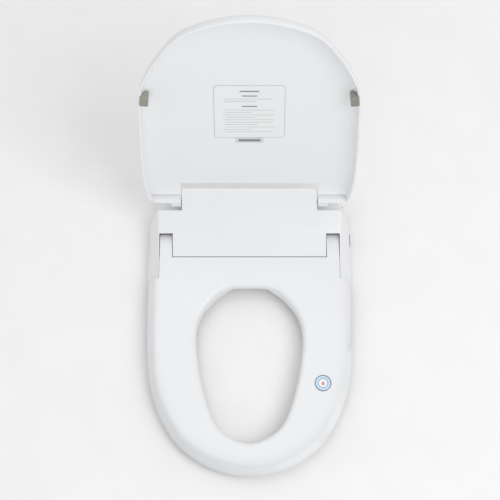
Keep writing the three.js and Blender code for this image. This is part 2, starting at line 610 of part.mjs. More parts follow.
// A hairpin tube: down, across and up again, with its ends above the tank's lid.
function tubeAlong(points, radius, sides, steps) {
  const path = new THREE.CatmullRomCurve3(points.map((p) => new THREE.Vector3(...p)), false, 'centripetal');
  const round = [];
  for (let i = 0; i < sides; i += 1) {
    const turn = (i / sides) * 2 * Math.PI;
    round.push(new THREE.Vector2(Math.cos(turn) * radius, Math.sin(turn) * radius));
  }
  return new THREE.ExtrudeGeometry(new THREE.Shape(round), { steps, extrudePath: path, bevelEnabled: false });
}
add('heater_element', tubeAlong([[-95, 13, 56], [-95, 13, 36], [-94, 13, 27], [-87.5, 13, 21.5],
  [-81, 13, 27], [-80, 13, 36], [-80, 13, 56]], 2.6, 8, 16), STEEL);

const valveBody = box(-166, -134, 12, 40, 15, 33.3).subtract(rodY(INLET.x, 30, 42, INLET.z, 4));
add('inlet_valve', valveBody.add(rodZ(-150, 25, 33, 50, 9)), DARK_PLASTIC);
const fitting = rodY(INLET.x, 40 + GAP, REAR_Y - 3.2, INLET.z, 13, 6)
  .add(rodY(INLET.x, REAR_Y - 4, REAR_Y + 17, INLET.z, 10.4, 24)).subtract(rodY(INLET.x, 43, 80, INLET.z, 7));
add('inlet_fitting', fitting, BRASS);
const hoseBend = [[-60, -14.5, 24], [-60, -22, 24.5], [-57, -30, 27], [-50, -36, 29.5], [-44, -37, 30]];
add('nozzle_hose', tubeAlong(hoseBend, 3.6, 10, 12), CLEAR_GREY);

// ---------------------------------------------------------------- warm-air dryer
function blowerCase() {
  const { x, y, r, low, high } = BLOWER;
  let scroll = rodZ(x, y, low, high, r, 32).add(box(FLAP.x0 + 27, FLAP.x1 + 10, -30, y, low, high));
  scroll = scroll.subtract(rodZ(x, y, low + 2, high - 2, r - 2.2, 32))
    .subtract(box(FLAP.x0 + 29, FLAP.x1 + 8, -31, y, low + 2, high - 2));
  return scroll.subtract(rodZ(x, y, high - 3, high + 1, 12, 24));
}
add('blower_case', blowerCase(), DARK_PLASTIC);

function blowerWheel() {
  const { x, y, low } = BLOWER;
  let wheel = rodZ(x, y, low + 3, low + 5, 21, 24).add(rodZ(x, y, low + 3, low + 14, 5, 16));
  for (let i = 0; i < 14; i += 1) {
    const blade = new THREE.BoxGeometry(7, 1.4, 14);
    blade.rotateZ(0.7);
    blade.translate(17.2, 0, 0);
    blade.rotateZ((i / 14) * 2 * Math.PI);
    blade.translate(x, y, low + 11.4);
    wheel = wheel.add(toSolid(blade));
  }
  return wheel.subtract(rodZ(x, y, low + 6, low + 16, 1.5 + GAP, 12));
}
add('blower_wheel', blowerWheel(), GREY_PLASTIC);
const motorCan = rodZ(BLOWER.x, BLOWER.y, BLOWER.high + GAP, BLOWER.high + 18, 14, 24);
add('blower_motor', motorCan.add(rodZ(BLOWER.x, BLOWER.y, BLOWER.low + 7, BLOWER.high + 2, 1.5, 12)), STEEL);

function dryerDuct() {
  const outer = [[FRONT_Y + WALL + GAP, 8.5], [-31, 14], [-31, 39], [FRONT_Y + WALL + GAP, 30]];
  const inner = [[FRONT_Y, 10.5], [-30, 16], [-30, 37], [FRONT_Y, 28]];
  return slabX(outer, FLAP.x0 - 1.5, FLAP.x1 + 10).subtract(slabX(inner, FLAP.x0 + 0.5, FLAP.x1 + 8));
}
add('dryer_duct', dryerDuct(), DARK_PLASTIC);

const FLAP_AXIS = { y: FRONT_Y + 1.4, z: FLAP.top };
const flapX = [FLAP.x0 + 0.6, FLAP.x1 - 0.6];
const flapLeaf = box(...flapX, FLAP_AXIS.y - 0.8, FLAP_AXIS.y + 0.8, FLAP.bottom + 0.6, FLAP.top);
add('dryer_flap', flapLeaf.add(rodX(...flapX, FLAP_AXIS.y, FLAP_AXIS.z, 1.2, 12)), PLASTIC);

// ---------------------------------------------------------------- electrics
const BOARD_PARTS = [{ x: -18, height: 8 }, { x: 0, height: 6 }, { x: 18, height: 10 }];
let board = box(-36, 36, 24, 50, 62, 63.6);
for (const { x, height } of BOARD_PARTS) {
  board = board.add(box(x - 6, x + 6, 30, 44, 63, 63 + height));
}
add('control_board', board, BOARD);
add('power_supply', box(-96, -62, 20, 44, 54.5, 69), DARK_PLASTIC);
const gland = rodY(GLAND.x, REAR_Y - 6, REAR_Y + 2.5, GLAND.z, 6.6, 20)
  .add(rodY(GLAND.x, REAR_Y + 0.4, REAR_Y + 3, GLAND.z, 9, 20));
add('cord_gland', gland.subtract(rodY(GLAND.x, REAR_Y - 8, REAR_Y + 6, GLAND.z, 3.6, 16)), DARK_PLASTIC);

// ---------------------------------------------------------------- deodorizer and release button
function cartridge() {
  const { x0, y0, y1, z0, z1 } = CARTRIDGE;
  const face = baseHalf((y0 + y1) / 2);
  const air = box(x0 - 1, face - 6, y0 + 2, y1 - 2, z0 + 2, z1 - 2);
  return box(x0, face - 2, y0, y1, z0, z1).subtract(air);
}
add('deodorizer_cartridge', cartridge(), GREY_PLASTIC);

const buttonFace = baseHalf(-20) + 1.5;
const button = box(buttonFace - 9, buttonFace, BUTTON.y0, BUTTON.y1, BUTTON.z0, BUTTON.z1)
  .add(box(buttonFace - 14, buttonFace - 8, BUTTON.y0 + 6, BUTTON.y1 - 6, BUTTON.z0 + 1, BUTTON.z1 - 1));
add('release_button', button, GREY_PLASTIC);

export default bidetSeat;
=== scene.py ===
# An electric bidet seat in gloss white plastic, lid open and seat down, on a pale studio floor.
# Lengths named *_MM are millimetres; everything handed to Blender is in metres, in the part's frame.
import json
import math

import bmesh
import bpy
from mathutils import Matrix, Vector


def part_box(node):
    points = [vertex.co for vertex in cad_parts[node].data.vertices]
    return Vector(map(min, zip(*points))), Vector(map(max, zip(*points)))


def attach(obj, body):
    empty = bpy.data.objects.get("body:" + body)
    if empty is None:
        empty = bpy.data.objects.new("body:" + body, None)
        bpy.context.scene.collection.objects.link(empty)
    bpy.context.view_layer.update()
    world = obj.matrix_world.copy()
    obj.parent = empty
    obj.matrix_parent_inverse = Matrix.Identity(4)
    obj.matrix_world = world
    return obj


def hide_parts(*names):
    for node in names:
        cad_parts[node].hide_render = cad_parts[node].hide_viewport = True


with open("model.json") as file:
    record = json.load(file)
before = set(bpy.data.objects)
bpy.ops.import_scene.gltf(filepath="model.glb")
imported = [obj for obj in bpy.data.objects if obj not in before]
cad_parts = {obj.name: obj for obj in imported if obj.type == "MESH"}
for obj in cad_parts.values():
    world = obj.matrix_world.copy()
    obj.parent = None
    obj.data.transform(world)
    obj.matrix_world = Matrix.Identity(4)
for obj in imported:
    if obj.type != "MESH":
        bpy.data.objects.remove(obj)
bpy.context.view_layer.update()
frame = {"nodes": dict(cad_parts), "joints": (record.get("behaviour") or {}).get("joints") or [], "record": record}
JOINTS = {joint["name"]: joint for joint in frame["joints"]}
MM = 0.001

# ---------------------------------------------------------------- outlines, in millimetres
# Half outlines run from the rear to the nose as (half-width, y); they match the ring and the lid.
RING_BASE_MM = [
    (0, 60), (100, 57), (165, 22), (186, -40), (190.5, -132), (188.5, -249), (182, -306), (170, -344),
    (153, -381), (126, -418), (72, -454), (0, -470),
]
OPENING_MM = [
    (0, -120), (31, -121.5), (49.6, -128), (72.4, -149), (90, -175), (98.5, -212), (96, -255),
    (84, -318), (63, -376), (38.7, -401), (0, -414.5),
]
LID_MM = [
    (0, -11.5), (90, -11.5), (168, -11.5), (184, -18), (189, -38), (192.8, -82), (192.5, -171),
    (190.2, -241), (187.9, -294), (182.8, -334), (170.6, -368), (152.8, -405), (115.8, -458),
    (62, -487), (0, -498),
]
SEAT_TOP_MM = 50
SEAT_BOTTOM_MM = 16
LID_RIM_MM = -11
LID_LEAN = math.radians(13.5)
LID_TILT = math.radians(2)
NOTCH_HALF_MM = 127.5
NOTCH_END_MM = 48
EAR_SWING_MM = 17
LID_BORE_R_MM = 4.4
SHOULDER_Y_MM = 17.5
BACK_HALF_MM = 126
DECK_Z_MM = 58
SPLIT_Z_MM = 34
WALL_MM = 2.8
GAP_MM = 0.35
EAR_HALF_MM = 181
NOZZLE_X_MM = 13
LUG_POCKET_R_MM = 29.5
SCREW_SPOTS_MM = [(158, 4), (120, 46)]

LID_AXIS = Vector(JOINTS["lid_hinge"]["pos_m"])
SEAT_AXIS = Vector(JOINTS["seat_hinge"]["pos_m"])
FRONT_Y_MM = -62.8
REAR_Y_MM = 54


# ---------------------------------------------------------------- small modelling helpers
def deselect():
    if bpy.context.object and bpy.context.object.mode != "OBJECT":
        bpy.ops.object.mode_set(mode="OBJECT")
    bpy.ops.object.select_all(action="DESELECT")


def activate(piece):
    deselect()
    piece.select_set(True)
    bpy.context.view_layer.objects.active = piece


def named(name):
    piece = bpy.context.object
    piece.name = name
    piece.data.name = name
    return piece


def settle(piece):
    """Puts the piece's place and turn into its mesh."""
    activate(piece)
    bpy.ops.object.transform_apply(location=True, rotation=True, scale=True)
    return piece


def block(name, low, high):
    """A box between two corners in millimetres."""
    low, high = Vector(low) * MM, Vector(high) * MM
    deselect()
    bpy.ops.mesh.primitive_cube_add(size=1, location=(low + high) / 2)
    piece = named(name)
    piece.scale = high - low
    return settle(piece)


def rod(name, start, end, radius, sides=48, end_radius=None):
    """A round bar between two points in millimetres, tapered when it has an end radius."""
    start, end = Vector(start) * MM, Vector(end) * MM
    deselect()
    bpy.ops.mesh.primitive_cone_add(
        vertices=sides, radius1=radius * MM, radius2=(end_radius or radius) * MM,
        depth=(end - start).length, location=(start + end) / 2)
    piece = named(name)
    piece.rotation_euler = (end - start).to_track_quat("Z", "Y").to_euler()
    return settle(piece)


def node_corners(node):
    """The low and high corners of a node's box, in millimetres."""
    low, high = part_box(node)
    return low / MM, high / MM


def beside(side, inner, outer):
    """The low and high x of a span on one side of the middle; side is -1 or 1."""
    return sorted((side * inner, side * outer))


def pin_rod(axis, side, inner, outer, radius, sides=48):
    """A round bar along a hinge axis, between two distances from the middle."""
    low, high = beside(side, inner, outer)
    pin = axis / MM
    return rod("pin way", (low, pin.y, pin.z), (high, pin.y, pin.z), radius, sides)


def evenly(points, count):
    """Points at even spacing along a closed chain of Vectors."""
    ring = points + [points[0]]
    lengths = [(b - a).length for a, b in zip(ring, ring[1:])]
    step = sum(lengths) / count
    placed, walked, i = [], 0.0, 0
    for k in range(count):
        while walked + lengths[i] < k * step and i < len(lengths) - 1:
            walked += lengths[i]
            i += 1
        placed.append(ring[i].lerp(ring[i + 1], (k * step - walked) / lengths[i]))
    return placed


def on_curve(start, lead, end, follow, t):
    """A point on the cubic that leaves its start along lead and reaches its end along follow."""
    return (start * (2 * t**3 - 3 * t**2 + 1) + lead * (t**3 - 2 * t**2 + t)
            + end * (3 * t**2 - 2 * t**3) + follow * (t**3 - t**2))


def smooth_outline(half, count):
    """A smooth closed loop of Vectors, in metres, through a half outline and its mirror image."""
    right = [Vector((x, y, 0)) * MM for x, y in half]
    left = [Vector((-p.x, p.y, 0)) for p in reversed(right[1:-1])]
    knots = right + left
    fine = []
    for i, start in enumerate(knots):
        before, end, after = knots[i - 1], knots[(i + 1) % len(knots)], knots[(i + 2) % len(knots)]
        reach = (end - start).length
        lead = (end - before).normalized() * reach
        follow = (after - start).normalized() * reach
        fine += [on_curve(start, lead, end, follow, k / 24) for k in range(24)]
    return evenly(fine, count)


def loop(name, half, count, z_mm):
    """A ring of edges laid on an outline."""
    deselect()
    bpy.ops.mesh.primitive_circle_add(vertices=count, radius=0.1)
    piece = named(name)
    for vertex, place in zip(piece.data.vertices, smooth_outline(half, count)):
        vertex.co = (place.x, place.y, z_mm * MM)
    return piece


def pick_edges(piece, test):
    """Selects the edges whose two ends pass the test."""
    mesh = bmesh.from_edit_mesh(piece.data)
    bpy.ops.mesh.select_mode(type="EDGE")
    bpy.ops.mesh.select_all(action="DESELECT")
    for edge in mesh.edges:
        if all(test(vertex.co) for vertex in edge.verts):
            edge.select_set(True)
    bmesh.update_edit_mesh(piece.data)


def grow(steps, centre_y_mm, half_x, half_y):
    """Extrudes the selected loop through steps of (height, inset), both in millimetres."""
    centre = (0, centre_y_mm * MM, 0)
    for (height, inset), (next_height, next_inset) in zip(steps, steps[1:]):
        bpy.ops.mesh.extrude_edges_move(
            TRANSFORM_OT_translate={"value": (0, 0, (next_height - height) * MM)})
        bpy.ops.transform.resize(
            value=((half_x - next_inset) / (half_x - inset), (half_y - next_inset) / (half_y - inset), 1),
            center_override=centre)


def walk_selected(piece):
    """The selected loop's vertices in order, from the rear centre towards +X."""
    mesh = bmesh.from_edit_mesh(piece.data)
    start = max((v for v in mesh.verts if v.select), key=lambda v: (round(v.co.y, 5), -abs(v.co.x)))
    near = [edge.other_vert(start) for edge in start.link_edges if edge.select]
    chain = [start, max(near, key=lambda v: v.co.x)]
    while True:
        onward = [edge.other_vert(chain[-1]) for edge in chain[-1].link_edges if edge.select]
        onward = [v for v in onward if v is not chain[-2]]
        if onward[0] is start:
            return mesh, chain
        chain.append(onward[0])


def extrude_onto(piece, outline, height_mm):
    """Extrudes the selected loop and lays the new edges on an outline at a height."""
    bpy.ops.mesh.extrude_edges_move(TRANSFORM_OT_translate={"value": (0, 0, 0)})
    mesh, chain = walk_selected(piece)
    for vertex, place in zip(chain, outline):
        vertex.co = (place.x, place.y, height_mm * MM)
    bmesh.update_edit_mesh(piece.data)


def inward(outline, distance_mm):
    """An outline moved towards its middle by a distance."""
    moved = []
    for i, point in enumerate(outline):
        along = (outline[(i + 1) % len(outline)] - outline[i - 1]).normalized()
        moved.append(point + Vector((along.y, -along.x, 0)) * distance_mm * MM)
    return moved


def face_out(piece):
    """Merges doubled points and turns every face outwards."""
    activate(piece)
    bpy.ops.object.mode_set(mode="EDIT")
    bpy.ops.mesh.select_all(action="SELECT")
    bpy.ops.mesh.remove_doubles(threshold=1e-6)
    bpy.ops.mesh.normals_make_consistent(inside=False)
    bpy.ops.object.mode_set(mode="OBJECT")
    return piece


def combine(piece, other, operation):
    """Joins a second solid on or cuts it away; the second one is used up."""
    activate(piece)
    boolean = piece.modifiers.new("boolean", "BOOLEAN")
    boolean.operation = operation
    boolean.solver = "EXACT"
    boolean.object = other
    bpy.ops.object.modifier_apply(modifier=boolean.name)
    bpy.data.objects.remove(other, do_unlink=True)
    return piece


def cut(piece, other):
    return combine(piece, other, "DIFFERENCE")


def join_on(piece, other):
    return combine(piece, other, "UNION")


def soften(piece, width_mm, segments):
    """Rounds the sharp edges a little, as a mould does."""
    activate(piece)
    bevel = piece.modifiers.new("mould radius", "BEVEL")
    bevel.width = width_mm * MM
    bevel.segments = segments
    bevel.limit_method = "ANGLE"
    bevel.angle_limit = math.radians(35)
    bevel.use_clamp_overlap = False
    bpy.ops.object.modifier_apply(modifier=bevel.name)
    return piece


def smooth(piece):
    activate(piece)
    bpy.ops.object.shade_smooth_by_angle(angle=math.radians(32))
    return piece


def side_profile(name, points, x0, x1):
    """A solid extruded along X from a profile of (y, z) points, all in millimetres."""
    mesh = bpy.data.meshes.new(name)
    mesh.from_pydata([(x0 * MM, y * MM, z * MM) for y, z in points], [], [range(len(points))])
    piece = bpy.data.objects.new(name, mesh)
    bpy.context.scene.collection.objects.link(piece)
    activate(piece)
    bpy.ops.object.mode_set(mode="EDIT")
    bpy.ops.mesh.select_all(action="SELECT")
    bpy.ops.mesh.extrude_region_move(TRANSFORM_OT_translate={"value": ((x1 - x0) * MM, 0, 0)})
    bpy.ops.object.mode_set(mode="OBJECT")
    return face_out(piece)


def finish_piece(piece, body, slot, material, *nodes):
    """Gives a piece its material and its body, and hides the CAD nodes that it stands in for; the slot is not
    used.
    """
    settle(piece)
    piece.data.materials.clear()
    piece.data.materials.append(material)
    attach(piece, body)
    if nodes:
        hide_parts(*nodes)
    return piece


# ---------------------------------------------------------------- materials
def colour(code):
    """An sRGB hex code as linear light."""
    channels = [int(code[i:i + 2], 16) / 255 for i in (1, 3, 5)]
    linear = [c / 12.92 if c <= 0.04045 else ((c + 0.055) / 1.055) ** 2.4 for c in channels]
    return (*linear, 1)


def add(tree, kind, **inputs):
    """Adds a node and fills or links its sockets."""
    node = tree.nodes.new(kind)
    for key, value in inputs.items():
        socket = node.inputs[key.replace("_", " ")]
        if isinstance(value, bpy.types.NodeSocket):
            tree.links.new(value, socket)
        else:
            socket.default_value = value
    return node


def ramp(tree, factor, low, high):
    """A colour that passes from low to high over the middle of a noise pattern's range."""
    node = add(tree, "ShaderNodeValToRGB", Fac=factor)
    for stop, position, shade in zip(node.color_ramp.elements, (0.35, 0.65), (low, high)):
        stop.position = position
        stop.color = shade
    return node.outputs["Color"]


def moulded(name, light, dark, roughness, grain_mm, depth_mm, uneven=0.12, **extra):
    """Plastic, rubber or paper: a faint shade drift, uneven gloss and a fine surface grain."""
    material = bpy.data.materials.new(name)
    material.use_nodes = True
    tree = material.node_tree
    shader = tree.nodes["Principled BSDF"]
    place = add(tree, "ShaderNodeTexCoord").outputs["Object"]
    drift = add(tree, "ShaderNodeTexNoise", Vector=place, Scale=1 / (90 * MM), Detail=2.0)
    grain = add(tree, "ShaderNodeTexNoise", Vector=place, Scale=1 / (grain_mm * MM), Detail=3.0)
    wipe = add(tree, "ShaderNodeTexNoise", Vector=place, Scale=1 / (35 * MM), Detail=4.0)
    tree.links.new(ramp(tree, drift.outputs["Fac"], colour(dark), colour(light)), shader.inputs["Base Color"])
    gloss = add(tree, "ShaderNodeMapRange", Value=wipe.outputs["Fac"], From_Min=0.3, From_Max=0.7,
                To_Min=roughness * (1 - uneven), To_Max=roughness * (1 + uneven))
    tree.links.new(gloss.outputs["Result"], shader.inputs["Roughness"])
    bump = add(tree, "ShaderNodeBump", Height=grain.outputs["Fac"], Strength=1.0, Distance=depth_mm * MM)
    tree.links.new(bump.outputs["Normal"], shader.inputs["Normal"])
    shader.inputs["IOR"].default_value = 1.49
    for key, value in extra.items():
        shader.inputs[key.replace("_", " ")].default_value = value
    return material


def metal(name, light, dark, roughness, line_mm, axis=0):
    """Turned or brushed metal: fine tool lines across one axis, with uneven gloss."""
    material = bpy.data.materials.new(name)
    material.use_nodes = True
    tree = material.node_tree
    shader = tree.nodes["Principled BSDF"]
    place = add(tree, "ShaderNodeTexCoord").outputs["Object"]
    stretch = [0.05, 0.05, 0.05]
    stretch[axis] = 1.0
    along = add(tree, "ShaderNodeMapping", Vector=place, Scale=stretch).outputs["Vector"]
    lines = add(tree, "ShaderNodeTexNoise", Vector=along, Scale=1 / (line_mm * MM), Detail=3.0)
    tree.links.new(ramp(tree, lines.outputs["Fac"], colour(dark), colour(light)), shader.inputs["Base Color"])
    gloss = add(tree, "ShaderNodeMapRange", Value=lines.outputs["Fac"], From_Min=0.3, From_Max=0.7,
                To_Min=roughness * 0.8, To_Max=roughness * 1.25)
    tree.links.new(gloss.outputs["Result"], shader.inputs["Roughness"])
    bump = add(tree, "ShaderNodeBump", Height=lines.outputs["Fac"], Strength=0.6, Distance=0.02 * MM)
    tree.links.new(bump.outputs["Normal"], shader.inputs["Normal"])
    shader.inputs["Metallic"].default_value = 1.0
    return material


# Polished polypropylene: a clean cool white with a soft gloss and the faintest orange peel.
GLOSS_WHITE = moulded("moulded gloss polypropylene", "#E9EAEC", "#E8E9EB", 0.3, 2.2, 0.003, 0.04)
# Moulded acetal: an even mid grey with a fine spark-eroded matt.
GREY_ACETAL = moulded("moulded grey acetal", "#94989B", "#8B8F92", 0.5, 0.6, 0.02)
# Glass-filled nylon: near black, dry and slightly mottled by the fibres.
DARK_NYLON = moulded("glass-filled nylon", "#44474A", "#35383B", 0.55, 0.8, 0.03)
# Smooth nozzle plastic: pale grey and slick, so that water runs off.
NOZZLE_PLASTIC = moulded("polished nozzle plastic", "#D3D6D9", "#CACDD1", 0.22, 1.5, 0.004)
# Thermoplastic elastomer: a soft grey-green, matt, with a powdery grain.
ELASTOMER = moulded("moulded grey elastomer", "#9DA092", "#8E9184", 0.78, 0.5, 0.05)
# Varnished label stock: white with a slight sheen.
LABEL_STOCK = moulded("varnished label stock", "#E9EAEB", "#E7E8E9", 0.36, 0.4, 0.004)
# Strip of pale grey label stock under the large label.
STRIP_STOCK = moulded("pale grey label stock", "#D6D7D8", "#CFD0D1", 0.45, 0.4, 0.004)
# Printing ink on the labels: flat greys.
LABEL_INK = moulded("grey label ink", "#A9ACAE", "#A0A3A5", 0.5, 0.4, 0.004)
DARK_INK = moulded("dark label ink", "#84888B", "#7A7E81", 0.5, 0.4, 0.004)
# Printed vinyl: three blues under a clear domed top.
BADGE_DARK = moulded("teal printed vinyl", "#5E8AA0", "#577F95", 0.3, 0.5, 0.003, Coat_Weight=0.5)
BADGE_LIGHT = moulded("light blue printed vinyl", "#B4D8EC", "#A6CEE6", 0.3, 0.5, 0.003, Coat_Weight=0.5)
BADGE_DROP = moulded("coral printed vinyl", "#D98880", "#CF7D78", 0.3, 0.5, 0.003, Coat_Weight=0.5)
BADGE_PALE = moulded("white printed vinyl", "#F1EFF2", "#ECE9EE", 0.3, 0.5, 0.003, Coat_Weight=0.5)
# Turned stainless steel: bright grey with fine rings from the tool.
STEEL = metal("turned stainless steel", "#C9CCD0", "#A9ADB2", 0.32, 0.4, axis=2)
BRASS = metal("turned brass", "#C7A765", "#AC8C4C", 0.3, 0.4, axis=1)
FOIL = metal("rolled aluminium foil", "#D2D5D8", "#BABDC1", 0.4, 1.2, axis=0)
# Solder mask over glass epoxy: a deep green with the weave just showing.
SOLDER_MASK = moulded("green solder mask", "#357A50", "#2B6643", 0.35, 0.9, 0.02)

MATERIAL_OF_SLOT = {
    "gloss_white": GLOSS_WHITE, "grey_plastic": GREY_ACETAL, "dark_plastic": DARK_NYLON,
    "clear_grey": NOZZLE_PLASTIC, "rubber_grey": ELASTOMER, "steel": STEEL, "brass": BRASS,
    "foil": FOIL, "board": SOLDER_MASK, "paper_label": LABEL_STOCK, "badge_blue": BADGE_DARK,
}


def finish_cad_nodes():
    """Every carried-over node takes the real material of its slot."""
    for part in frame["record"]["subparts"]:
        node = frame["nodes"][part["node"]]
        node.data.materials.clear()
        node.data.materials.append(MATERIAL_OF_SLOT[part["material_slot"]])


# ---------------------------------------------------------------- seat ring
SEAT_WALL_MM = 3.6
SEAT_BORE_R_MM = 5.4
NECK_SWING_MM = 28.9
SEAT_REAR_MM = -64.3
SEAT_REAR_HALF_MM = 168.4


def eased(knots, steps):
    """Points of a smooth curve through (height, inset) knots."""
    knots = [Vector(knot) for knot in knots]
    points = []
    for i, (start, end) in enumerate(zip(knots, knots[1:])):
        before, after = knots[max(i - 1, 0)], knots[min(i + 2, len(knots) - 1)]
        lead, follow = (end - before) / 2, (after - start) / 2
        points += [on_curve(start, lead, end, follow, k / steps) for k in range(steps)]
    return points + [knots[-1]]


def seat_ring():
    """A closed ring: up the opening, over a broad rounded top, down the side and back underneath."""
    count = 232
    edge, hole = smooth_outline(RING_BASE_MM, count), smooth_outline(OPENING_MM, count)
    ring = loop("seat_ring", OPENING_MM, count, SEAT_BOTTOM_MM)
    bpy.ops.object.mode_set(mode="EDIT")
    bpy.ops.mesh.select_all(action="SELECT")
    throat = [(24, 0.2), (38, 0.4), (43, 0), (45.6, -0.9), (47.3, -2.3), (48.5, -4.2), (49.2, -6.6),
              (49.7, -10), (49.9, -14), (50, -19)]
    side = eased([(50, 27), (49.8, 21.5), (48.8, 16.8), (46.4, 13.1), (42, 9.9), (36, 6.3), (30, 3.2),
                  (24, 1), (19.5, 0.1), (17, 0.5), (16, 1.8)], 3)
    for height, inset in throat:
        extrude_onto(ring, inward(hole, inset), height)
    for height, inset in side:
        extrude_onto(ring, inward(edge, inset), height)
    extrude_onto(ring, hole, SEAT_BOTTOM_MM)
    bpy.ops.object.mode_set(mode="OBJECT")
    return face_out(ring)


def ring_room():
    """The space under the ring's moulded wall, where the heater and the bottom plate lie."""
    count = 160
    edge, hole = smooth_outline(RING_BASE_MM, count), smooth_outline(OPENING_MM, count)
    room = loop("ring_room", OPENING_MM, count, 10)
    for vertex, place in zip(room.data.vertices, inward(hole, -SEAT_WALL_MM)):
        vertex.co = (place.x, place.y, 10 * MM)
    bpy.ops.object.mode_set(mode="EDIT")
    bpy.ops.mesh.select_all(action="SELECT")
    top = SEAT_TOP_MM - SEAT_WALL_MM
    extrude_onto(room, inward(hole, -SEAT_WALL_MM), 41)
    extrude_onto(room, inward(hole, -SEAT_WALL_MM - 4), top)
    for height, inset in [(top, 20), (44, 16.4), (38, 12), (30, 7), (22, 4.4), (10, 4.4)]:
        extrude_onto(room, inward(edge, inset), height)
    extrude_onto(room, inward(hole, -SEAT_WALL_MM), 10)
    bpy.ops.object.mode_set(mode="OBJECT")
    face_out(room)
    cut(room, block("solid rear", (-96, -140, 0), (96, 70, 60)))
    cut(room, block("solid rear", (-210, -74, 0), (210, 70, 60)))
    for side in (-1, 1):
        low, high = beside(side, SEAT_REAR_HALF_MM - SEAT_WALL_MM, 215)
        cut(room, block("solid rear", (low, -109, 0), (high, 70, 60)))
    return room


def hinge_lug(side):
    """The arm that reaches back from the ring round its hinge pin."""
    profile = [(-76, 20), (-76, 49.7), (-58, 50.2), (-36, 51), (-28, 50.6), (-22, 48.8), (-17.6, 45.4),
               (-15, 41), (-14.6, 36), (-16.6, 30.6), (-21, 26.2), (-28, 23.3), (-38, 21.5), (-52, 20)]
    return side_profile("lug", profile, *beside(side, 144.6, 168))


def nozzle_way():
    """The recess under the rear of the opening that the nozzles pass through, wider towards its foot."""
    way = block("nozzle way", (-34, -140, 0), (34, -60, 32.4))
    for vertex in way.data.vertices:
        if vertex.co.z < 0.01:
            vertex.co.x *= 1.7
    return soften(way, 5, 5)


def seat_top():
    """The hollow ring with its hinge lugs, cleared for the wings, the pins, the neck and the nozzles."""
    ring = seat_ring()
    cut(ring, block("behind", (-210, SEAT_REAR_MM, 0), (210, 90, 70)))
    for side in (-1, 1):
        low, high = beside(side, SEAT_REAR_HALF_MM, 215)
        cut(ring, block("wing gap", (low, -105.5, 0), (high, 90, 70)))
        join_on(ring, hinge_lug(side))
        cut(ring, pin_rod(SEAT_AXIS, side, 143, 170, SEAT_BORE_R_MM))
    cut(ring, ring_room())
    cut(ring, pin_rod(SEAT_AXIS, 1, -144.5, 144.5, NECK_SWING_MM, 96))
    cut(ring, nozzle_way())
    cut(ring, block("air way", (-90, -92, 0), (90, -60, 31)))
    smooth(ring)
    return finish_piece(ring, "seat", "gloss_white", GLOSS_WHITE, "seat_top")


# ---------------------------------------------------------------- lid
def to_open_lid(piece):
    """Turns a piece made on the closed, level lid into the open lid's place."""
    piece.matrix_world = Matrix.Translation(LID_AXIS) @ Matrix.Rotation(-(math.pi / 2 + LID_LEAN), 4, "X")
    return settle(piece)


def lid_dish():
    """The lid as a shallow dish: an outside and an inside grown from one rim loop, then closed."""
    shell = loop("lid_shell_fine", LID_MM, 260, LID_RIM_MM)
    activate(shell)
    bpy.ops.object.mode_set(mode="EDIT")

    def rim(co):
        return abs(co.z - LID_RIM_MM * MM) < 1e-6

    middle_and_halves = (-255, 193, 243)
    pick_edges(shell, rim)
    outside = [(-11, 0), (-9.6, -0.5), (-4, -0.1), (2, 1.1), (6, 3.2), (9, 6.4), (11, 10.6), (12.3, 16),
               (12.9, 23), (13, 34)]
    grow(outside, *middle_and_halves)
    bpy.ops.mesh.edge_face_add()
    pick_edges(shell, rim)
    inside = [(-11, 0), (-11.6, 1.4), (-11.2, 3.2), (-9.6, 4.2), (-5.5, 5.2), (-1.5, 7.4), (2, 11), (4.8, 16),
              (6.8, 22.5), (8.1, 31), (8.7, 41), (8.8, 52)]
    grow(inside, *middle_and_halves)
    bpy.ops.mesh.edge_face_add()
    bpy.ops.object.mode_set(mode="OBJECT")
    return face_out(shell)


BUMPER_MM = (7.2, 11.5)
BUMPER_AT_MM = (176.8, -305.8)
BUMPER_TURN = math.radians(6)


def onto_bumper_place(piece, side):
    """Moves a piece made at the origin to a bumper's place, turned to follow the rim."""
    piece.rotation_euler.z = -side * BUMPER_TURN
    piece.location = Vector((side * BUMPER_AT_MM[0], BUMPER_AT_MM[1], 0)) * MM
    return settle(piece)


def bumper_block(side, grow_by):
    """The rubber block's outline in the lid's corner; grow_by widens it into the pocket it sits in."""
    half_x, half_y = BUMPER_MM[0] + grow_by, BUMPER_MM[1] + grow_by
    low = LID_RIM_MM - 3.5 - 3 * grow_by
    return onto_bumper_place(block("bumper", (-half_x, -half_y, low), (half_x, half_y, 3 + grow_by)), side)


def lid_bumpers():
    """Two rubber blocks with a dished, ribbed face that rests on the seat."""
    for side, word in ((-1, "left"), (1, "right")):
        piece = bumper_block(side, 0)
        soften(piece, 2.2, 4)
        dish = block("dish", (-4.6, -8.4, LID_RIM_MM - 8), (4.6, 8.4, LID_RIM_MM - 2.6))
        cut(piece, soften(onto_bumper_place(dish, side), 0.8, 2))
        for k in range(3):
            y = -6.4 + 5.5 * k
            rib = block("rib", (-4.7, y, LID_RIM_MM - 3), (4.7, y + 1.7, LID_RIM_MM - 2.2))
            join_on(piece, soften(onto_bumper_place(rib, side), 0.25, 1))
        to_open_lid(piece)
        smooth(piece)
        finish_piece(piece, "lid", "rubber_grey", ELASTOMER, f"lid_bumper_{word}")


# ---------------------------------------------------------------- printed labels on the lid
PANEL_MM = 8.7


